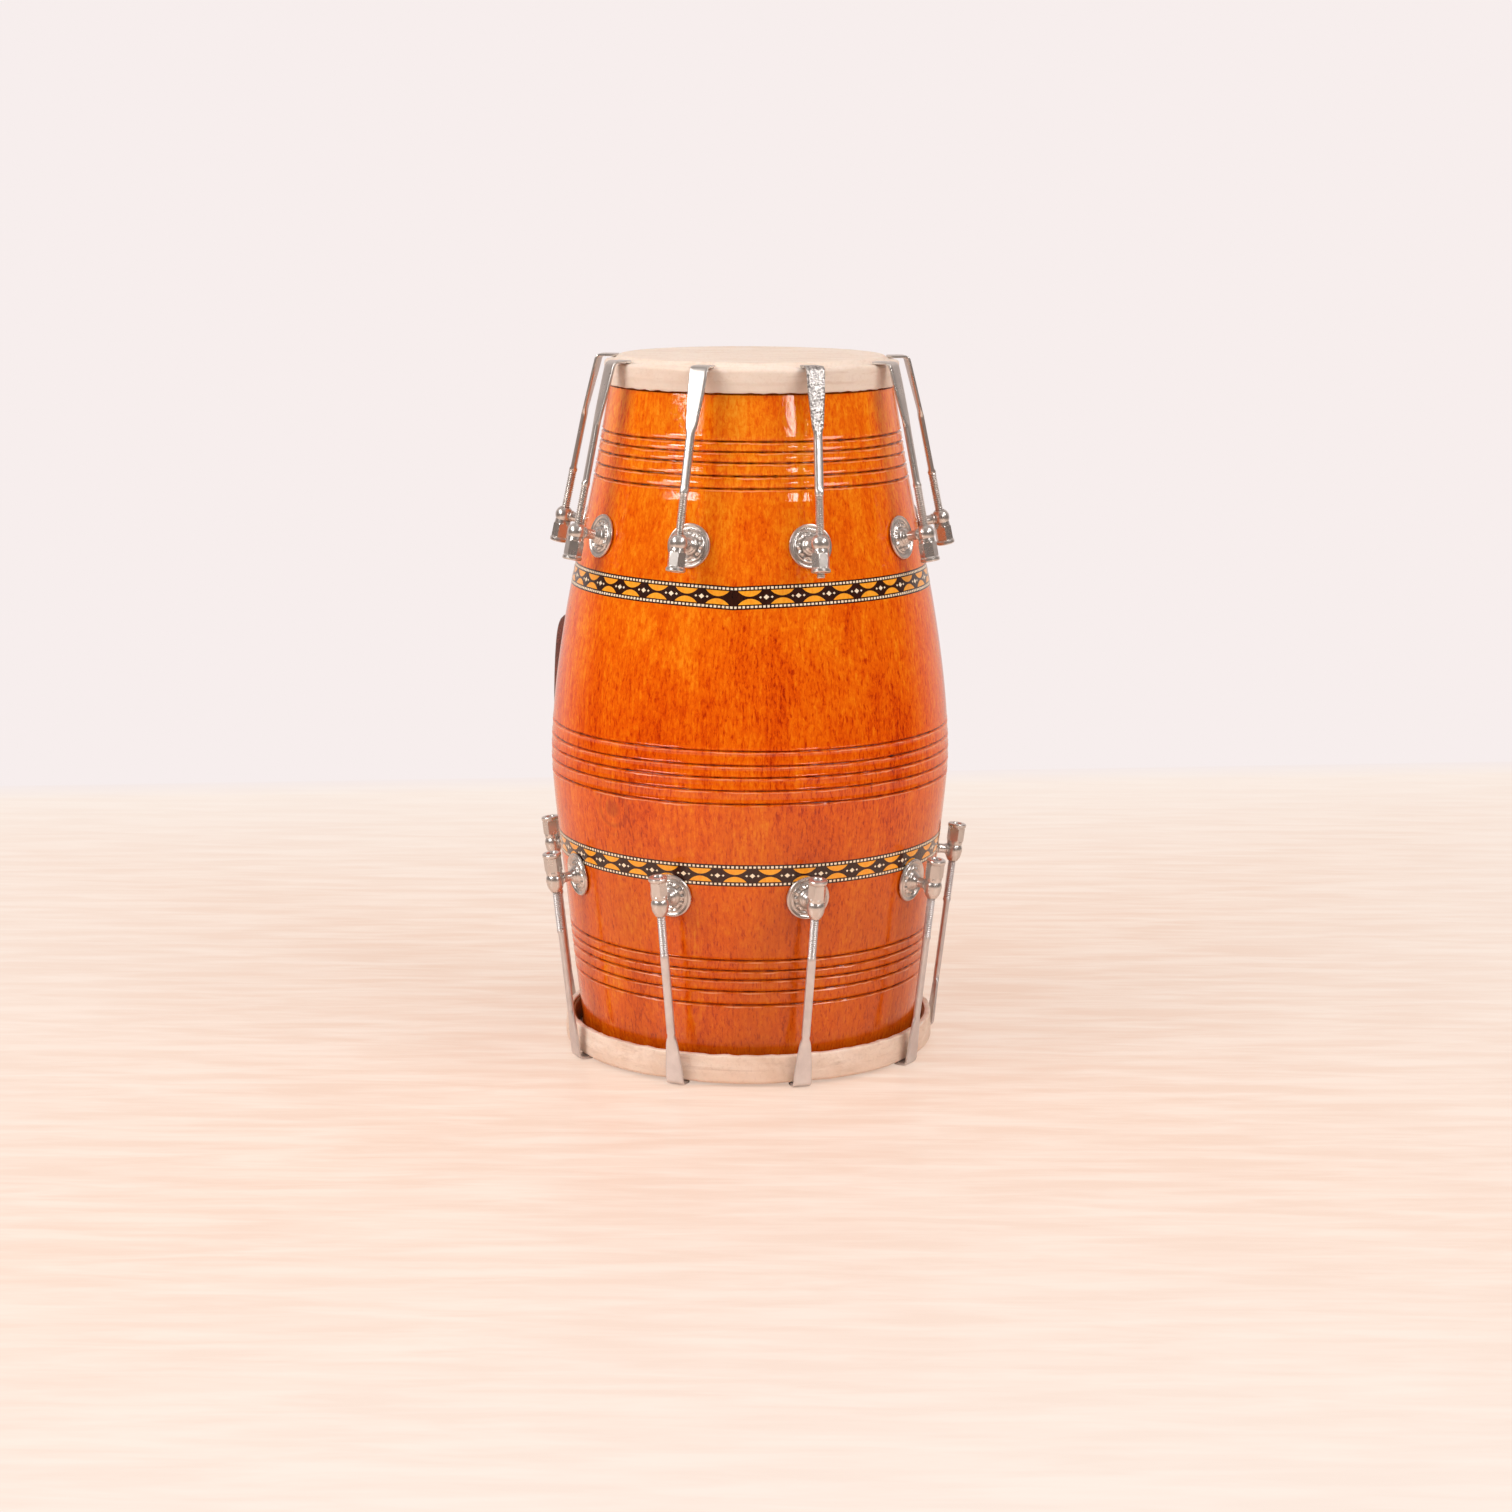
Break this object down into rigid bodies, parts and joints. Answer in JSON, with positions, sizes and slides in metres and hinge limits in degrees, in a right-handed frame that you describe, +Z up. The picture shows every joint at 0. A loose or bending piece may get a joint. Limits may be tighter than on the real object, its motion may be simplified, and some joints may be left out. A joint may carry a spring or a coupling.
{
  "type": "dholak drum",
  "caption": "Barrel-shaped hand drum of lacquered wood with a skin head at each end, each held by hooked rods, lugs and long nuts, and a carrying handle at the back.",
  "frame": {"origin": "on the plane that the bass head's claws rest on, at the middle of the bounding box's footprint", "axes": "+Z up along the drum's axis towards the treble head, -Y towards the viewer of the picture, +X to that viewer's right"},
  "size_m": [0.287, 0.2907, 0.4547],
  "materials": {
    "lacquered_wood": "orange-brown lacquer, glossy",
    "raw_skin": "raw hide, cream, matt",
    "bare_hoop": "bare, matt",
    "bright_steel": "plated, bright",
    "brown_leather": "dark brown, satin"
  },
  "bodies": {
    "drum": {"shell": "lacquered_wood", "handle": "brown_leather", "top_lug_1": "bright_steel", "top_lug_2": "bright_steel", "top_lug_3": "bright_steel", "top_lug_4": "bright_steel", "top_lug_5": "bright_steel", "top_lug_6": "bright_steel", "top_lug_7": "bright_steel", "top_lug_8": "bright_steel", "top_lug_9": "bright_steel", "bottom_lug_1": "bright_steel", "bottom_lug_2": "bright_steel", "bottom_lug_3": "bright_steel", "bottom_lug_4": "bright_steel", "bottom_lug_5": "bright_steel", "bottom_lug_6": "bright_steel", "bottom_lug_7": "bright_steel", "bottom_lug_8": "bright_steel", "bottom_lug_9": "bright_steel"},
    "top_head": {"top_skin": "raw_skin", "top_hoop": "bare_hoop"},
    "top_hook_1": {"top_hook_1": "bright_steel"},
    "top_nut_1": {"top_nut_1": "bright_steel"},
    "top_hook_2": {"top_hook_2": "bright_steel"},
    "top_nut_2": {"top_nut_2": "bright_steel"},
    "top_hook_3": {"top_hook_3": "bright_steel"},
    "top_nut_3": {"top_nut_3": "bright_steel"},
    "top_hook_4": {"top_hook_4": "bright_steel"},
    "top_nut_4": {"top_nut_4": "bright_steel"},
    "top_hook_5": {"top_hook_5": "bright_steel"},
    "top_nut_5": {"top_nut_5": "bright_steel"},
    "top_hook_6": {"top_hook_6": "bright_steel"},
    "top_nut_6": {"top_nut_6": "bright_steel"},
    "top_hook_7": {"top_hook_7": "bright_steel"},
    "top_nut_7": {"top_nut_7": "bright_steel"},
    "top_hook_8": {"top_hook_8": "bright_steel"},
    "top_nut_8": {"top_nut_8": "bright_steel"},
    "top_hook_9": {"top_hook_9": "bright_steel"},
    "top_nut_9": {"top_nut_9": "bright_steel"},
    "bottom_head": {"bottom_skin": "raw_skin", "bottom_hoop": "bare_hoop"},
    "bottom_hook_1": {"bottom_hook_1": "bright_steel"},
    "bottom_nut_1": {"bottom_nut_1": "bright_steel"},
    "bottom_hook_2": {"bottom_hook_2": "bright_steel"},
    "bottom_nut_2": {"bottom_nut_2": "bright_steel"},
    "bottom_hook_3": {"bottom_hook_3": "bright_steel"},
    "bottom_nut_3": {"bottom_nut_3": "bright_steel"},
    "bottom_hook_4": {"bottom_hook_4": "bright_steel"},
    "bottom_nut_4": {"bottom_nut_4": "bright_steel"},
    "bottom_hook_5": {"bottom_hook_5": "bright_steel"},
    "bottom_nut_5": {"bottom_nut_5": "bright_steel"},
    "bottom_hook_6": {"bottom_hook_6": "bright_steel"},
    "bottom_nut_6": {"bottom_nut_6": "bright_steel"},
    "bottom_hook_7": {"bottom_hook_7": "bright_steel"},
    "bottom_nut_7": {"bottom_nut_7": "bright_steel"},
    "bottom_hook_8": {"bottom_hook_8": "bright_steel"},
    "bottom_nut_8": {"bottom_nut_8": "bright_steel"},
    "bottom_hook_9": {"bottom_hook_9": "bright_steel"},
    "bottom_nut_9": {"bottom_nut_9": "bright_steel"}
  },
  "joints": [
    {"name": "top_head_lift", "type": "slide", "parent": "drum", "child": "top_head", "axis": [0, 0, 1], "range_m": [0, 0.00497]},
    {"name": "top_nut_1_turn", "type": "hinge", "parent": "drum", "child": "top_nut_1", "pos_m": [-0.08014, 0.10258, 0.3333], "axis": [-0.1274, 0.1631, -0.9783], "range_deg": [0, 1440]},
    {"name": "top_hook_1_draw", "type": "slide", "parent": "drum", "child": "top_hook_1", "axis": [0.1274, -0.1631, 0.9783], "range_m": [0, 0.00508]},
    {"name": "top_nut_2_turn", "type": "hinge", "parent": "drum", "child": "top_nut_2", "pos_m": [-0.12631, 0.03149, 0.3333], "axis": [-0.2009, 0.0501, -0.9783], "range_deg": [0, 1440]},
    {"name": "top_hook_2_draw", "type": "slide", "parent": "drum", "child": "top_hook_2", "axis": [0.2009, -0.0501, 0.9783], "range_m": [0, 0.00508]},
    {"name": "top_nut_3_turn", "type": "hinge", "parent": "drum", "child": "top_nut_3", "pos_m": [-0.11216, -0.06607, 0.3333], "axis": [-0.1784, -0.1051, -0.9783], "range_deg": [0, 1440]},
    {"name": "top_hook_3_draw", "type": "slide", "parent": "drum", "child": "top_hook_3", "axis": [0.1784, 0.1051, 0.9783], "range_m": [0, 0.00508]},
    {"name": "top_nut_4_turn", "type": "hinge", "parent": "drum", "child": "top_nut_4", "pos_m": [-0.0456, -0.12192, 0.33331], "axis": [-0.1045, -0.1819, -0.9777], "range_deg": [0, 1440]},
    {"name": "top_hook_4_draw", "type": "slide", "parent": "drum", "child": "top_hook_4", "axis": [0.1045, 0.1819, 0.9777], "range_m": [0, 0.00508]},
    {"name": "top_nut_5_turn", "type": "hinge", "parent": "drum", "child": "top_nut_5", "pos_m": [0.04307, -0.12284, 0.33332], "axis": [0.025, -0.2106, -0.9773], "range_deg": [0, 1440]},
    {"name": "top_hook_5_draw", "type": "slide", "parent": "drum", "child": "top_hook_5", "axis": [-0.025, 0.2106, 0.9773], "range_m": [0, 0.00508]},
    {"name": "top_nut_6_turn", "type": "hinge", "parent": "drum", "child": "top_nut_6", "pos_m": [0.11273, -0.06509, 0.3333], "axis": [0.1793, -0.1035, -0.9783], "range_deg": [0, 1440]},
    {"name": "top_hook_6_draw", "type": "slide", "parent": "drum", "child": "top_hook_6", "axis": [-0.1793, 0.1035, 0.9783], "range_m": [0, 0.00508]},
    {"name": "top_nut_7_turn", "type": "hinge", "parent": "drum", "child": "top_nut_7", "pos_m": [0.12756, 0.02595, 0.3333], "axis": [0.2029, 0.0413, -0.9783], "range_deg": [0, 1440]},
    {"name": "top_hook_7_draw", "type": "slide", "parent": "drum", "child": "top_hook_7", "axis": [-0.2029, -0.0413, 0.9783], "range_m": [0, 0.00508]},
    {"name": "top_nut_8_turn", "type": "hinge", "parent": "drum", "child": "top_nut_8", "pos_m": [0.08192, 0.10116, 0.3333], "axis": [0.1303, 0.1609, -0.9783], "range_deg": [0, 1440]},
    {"name": "top_hook_8_draw", "type": "slide", "parent": "drum", "child": "top_hook_8", "axis": [-0.1303, -0.1609, 0.9783], "range_m": [0, 0.00508]},
    {"name": "top_nut_9_turn", "type": "hinge", "parent": "drum", "child": "top_nut_9", "pos_m": [0, 0.13017, 0.3333], "axis": [0, 0.207, -0.9783], "range_deg": [0, 1440]},
    {"name": "top_hook_9_draw", "type": "slide", "parent": "drum", "child": "top_hook_9", "axis": [0, -0.207, 0.9783], "range_m": [0, 0.00508]},
    {"name": "bottom_head_lift", "type": "slide", "parent": "drum", "child": "bottom_head", "axis": [0, 0, -1], "range_m": [0, 0.00504]},
    {"name": "bottom_nut_1_turn", "type": "hinge", "parent": "drum", "child": "bottom_nut_1", "pos_m": [-0.07562, 0.12101, 0.13431], "axis": [-0.0656, 0.105, 0.9923], "range_deg": [0, 1440]},
    {"name": "bottom_hook_1_draw", "type": "slide", "parent": "drum", "child": "bottom_hook_1", "axis": [0.0656, -0.105, -0.9923], "range_m": [0, 0.00508]},
    {"name": "bottom_nut_2_turn", "type": "hinge", "parent": "drum", "child": "bottom_nut_2", "pos_m": [-0.13492, 0.04646, 0.13431], "axis": [-0.1171, 0.0403, 0.9923], "range_deg": [0, 1440]},
    {"name": "bottom_hook_2_draw", "type": "slide", "parent": "drum", "child": "bottom_hook_2", "axis": [0.1171, -0.0403, -0.9923], "range_m": [0, 0.00508]},
    {"name": "bottom_nut_3_turn", "type": "hinge", "parent": "drum", "child": "bottom_nut_3", "pos_m": [-0.12657, -0.06589, 0.13431], "axis": [-0.1098, -0.0572, 0.9923], "range_deg": [0, 1440]},
    {"name": "bottom_hook_3_draw", "type": "slide", "parent": "drum", "child": "bottom_hook_3", "axis": [0.1098, 0.0572, -0.9923], "range_m": [0, 0.00508]},
    {"name": "bottom_nut_4_turn", "type": "hinge", "parent": "drum", "child": "bottom_nut_4", "pos_m": [-0.05637, -0.13109, 0.1343], "axis": [-0.0775, -0.1015, 0.9918], "range_deg": [0, 1440]},
    {"name": "bottom_hook_4_draw", "type": "slide", "parent": "drum", "child": "bottom_hook_4", "axis": [0.0775, 0.1015, -0.9918], "range_m": [0, 0.00508]},
    {"name": "bottom_nut_5_turn", "type": "hinge", "parent": "drum", "child": "bottom_nut_5", "pos_m": [0.04255, -0.1362, 0.1343], "axis": [0.0633, -0.11, 0.9919], "range_deg": [0, 1440]},
    {"name": "bottom_hook_5_draw", "type": "slide", "parent": "drum", "child": "bottom_hook_5", "axis": [-0.0633, 0.11, -0.9919], "range_m": [0, 0.00508]},
    {"name": "bottom_nut_6_turn", "type": "hinge", "parent": "drum", "child": "bottom_nut_6", "pos_m": [0.11913, -0.07855, 0.13431], "axis": [0.1034, -0.0682, 0.9923], "range_deg": [0, 1440]},
    {"name": "bottom_hook_6_draw", "type": "slide", "parent": "drum", "child": "bottom_hook_6", "axis": [-0.1034, 0.0682, -0.9923], "range_m": [0, 0.00508]},
    {"name": "bottom_nut_7_turn", "type": "hinge", "parent": "drum", "child": "bottom_nut_7", "pos_m": [0.13931, 0.03088, 0.13431], "axis": [0.1209, 0.0268, 0.9923], "range_deg": [0, 1440]},
    {"name": "bottom_hook_7_draw", "type": "slide", "parent": "drum", "child": "bottom_hook_7", "axis": [-0.1209, -0.0268, -0.9923], "range_m": [0, 0.00508]},
    {"name": "bottom_nut_8_turn", "type": "hinge", "parent": "drum", "child": "bottom_nut_8", "pos_m": [0.09548, 0.10604, 0.13431], "axis": [0.0829, 0.092, 0.9923], "range_deg": [0, 1440]},
    {"name": "bottom_hook_8_draw", "type": "slide", "parent": "drum", "child": "bottom_hook_8", "axis": [-0.0829, -0.092, -0.9923], "range_m": [0, 0.00508]},
    {"name": "bottom_nut_9_turn", "type": "hinge", "parent": "drum", "child": "bottom_nut_9", "pos_m": [0.01739, 0.14163, 0.13431], "axis": [0.0151, 0.1229, 0.9923], "range_deg": [0, 1440]},
    {"name": "bottom_hook_9_draw", "type": "slide", "parent": "drum", "child": "bottom_hook_9", "axis": [-0.0151, -0.1229, -0.9923], "range_m": [0, 0.00508]}
  ],
  "couplings": [
    {"joint": "top_nut_1_turn", "follows": "top_head_lift", "rad_per_m": 5057.9},
    {"joint": "top_hook_1_draw", "follows": "top_head_lift", "ratio": 1.0223},
    {"joint": "top_nut_2_turn", "follows": "top_head_lift", "rad_per_m": 5057.9},
    {"joint": "top_hook_2_draw", "follows": "top_head_lift", "ratio": 1.0223},
    {"joint": "top_nut_3_turn", "follows": "top_head_lift", "rad_per_m": 5057.9},
    {"joint": "top_hook_3_draw", "follows": "top_head_lift", "ratio": 1.0223},
    {"joint": "top_nut_4_turn", "follows": "top_head_lift", "rad_per_m": 5057.9},
    {"joint": "top_hook_4_draw", "follows": "top_head_lift", "ratio": 1.0223},
    {"joint": "top_nut_5_turn", "follows": "top_head_lift", "rad_per_m": 5057.9},
    {"joint": "top_hook_5_draw", "follows": "top_head_lift", "ratio": 1.0223},
    {"joint": "top_nut_6_turn", "follows": "top_head_lift", "rad_per_m": 5057.9},
    {"joint": "top_hook_6_draw", "follows": "top_head_lift", "ratio": 1.0223},
    {"joint": "top_nut_7_turn", "follows": "top_head_lift", "rad_per_m": 5057.9},
    {"joint": "top_hook_7_draw", "follows": "top_head_lift", "ratio": 1.0223},
    {"joint": "top_nut_8_turn", "follows": "top_head_lift", "rad_per_m": 5057.9},
    {"joint": "top_hook_8_draw", "follows": "top_head_lift", "ratio": 1.0223},
    {"joint": "top_nut_9_turn", "follows": "top_head_lift", "rad_per_m": 5057.9},
    {"joint": "top_hook_9_draw", "follows": "top_head_lift", "ratio": 1.0223},
    {"joint": "bottom_nut_1_turn", "follows": "bottom_head_lift", "rad_per_m": 4986.6},
    {"joint": "bottom_hook_1_draw", "follows": "bottom_head_lift", "ratio": 1.0079},
    {"joint": "bottom_nut_2_turn", "follows": "bottom_head_lift", "rad_per_m": 4986.6},
    {"joint": "bottom_hook_2_draw", "follows": "bottom_head_lift", "ratio": 1.0079},
    {"joint": "bottom_nut_3_turn", "follows": "bottom_head_lift", "rad_per_m": 4986.6},
    {"joint": "bottom_hook_3_draw", "follows": "bottom_head_lift", "ratio": 1.0079},
    {"joint": "bottom_nut_4_turn", "follows": "bottom_head_lift", "rad_per_m": 4986.6},
    {"joint": "bottom_hook_4_draw", "follows": "bottom_head_lift", "ratio": 1.0079},
    {"joint": "bottom_nut_5_turn", "follows": "bottom_head_lift", "rad_per_m": 4986.6},
    {"joint": "bottom_hook_5_draw", "follows": "bottom_head_lift", "ratio": 1.0079},
    {"joint": "bottom_nut_6_turn", "follows": "bottom_head_lift", "rad_per_m": 4986.6},
    {"joint": "bottom_hook_6_draw", "follows": "bottom_head_lift", "ratio": 1.0079},
    {"joint": "bottom_nut_7_turn", "follows": "bottom_head_lift", "rad_per_m": 4986.6},
    {"joint": "bottom_hook_7_draw", "follows": "bottom_head_lift", "ratio": 1.0079},
    {"joint": "bottom_nut_8_turn", "follows": "bottom_head_lift", "rad_per_m": 4986.6},
    {"joint": "bottom_hook_8_draw", "follows": "bottom_head_lift", "ratio": 1.0079},
    {"joint": "bottom_nut_9_turn", "follows": "bottom_head_lift", "rad_per_m": 4986.6},
    {"joint": "bottom_hook_9_draw", "follows": "bottom_head_lift", "ratio": 1.0079}
  ]
}
